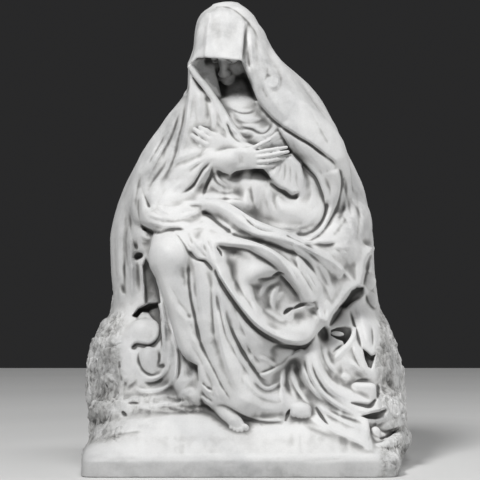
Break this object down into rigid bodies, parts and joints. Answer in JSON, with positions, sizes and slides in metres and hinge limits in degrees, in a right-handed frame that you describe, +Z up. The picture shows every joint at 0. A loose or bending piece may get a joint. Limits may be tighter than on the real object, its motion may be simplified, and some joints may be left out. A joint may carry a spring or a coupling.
{
  "type": "seated mourning figure statue",
  "caption": "Life-size seated, veiled woman with crossed hands and bowed head, in heavy drapery on rough rock and a low smooth base.",
  "frame": {"origin": "middle of the flat underside of the base", "axes": "+Z up, -Y is the front that the figure faces, +X is to the viewer's right when seen from the front"},
  "size_m": [0.8952, 0.7292, 1.2344],
  "materials": {
    "marble": "satin"
  },
  "bodies": {
    "root": {"mater_dolorosa": "marble"}
  },
  "joints": []
}
